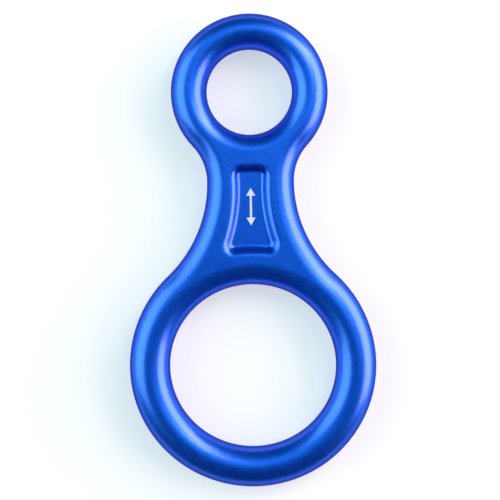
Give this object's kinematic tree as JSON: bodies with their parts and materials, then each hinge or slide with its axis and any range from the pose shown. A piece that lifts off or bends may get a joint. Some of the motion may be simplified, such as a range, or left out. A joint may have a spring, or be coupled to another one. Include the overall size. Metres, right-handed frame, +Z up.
{
  "type": "figure eight descender",
  "caption": "Flat figure eight descender for rope abseiling and belaying: a large and a small round-barred eye joined by a web with a shallow recess, in blue anodised aluminium.",
  "frame": {"origin": "middle of the underside's bounding rectangle, on the surface that the part lies on", "axes": "+Y from the large eye towards the small eye, +Z up through the thickness, +X to the right"},
  "size_m": [0.0746, 0.143, 0.012],
  "materials": {
    "anodised_aluminium": "satin blue anodised over fine blasting"
  },
  "bodies": {
    "root": {"descender_body": "anodised_aluminium"}
  },
  "joints": []
}
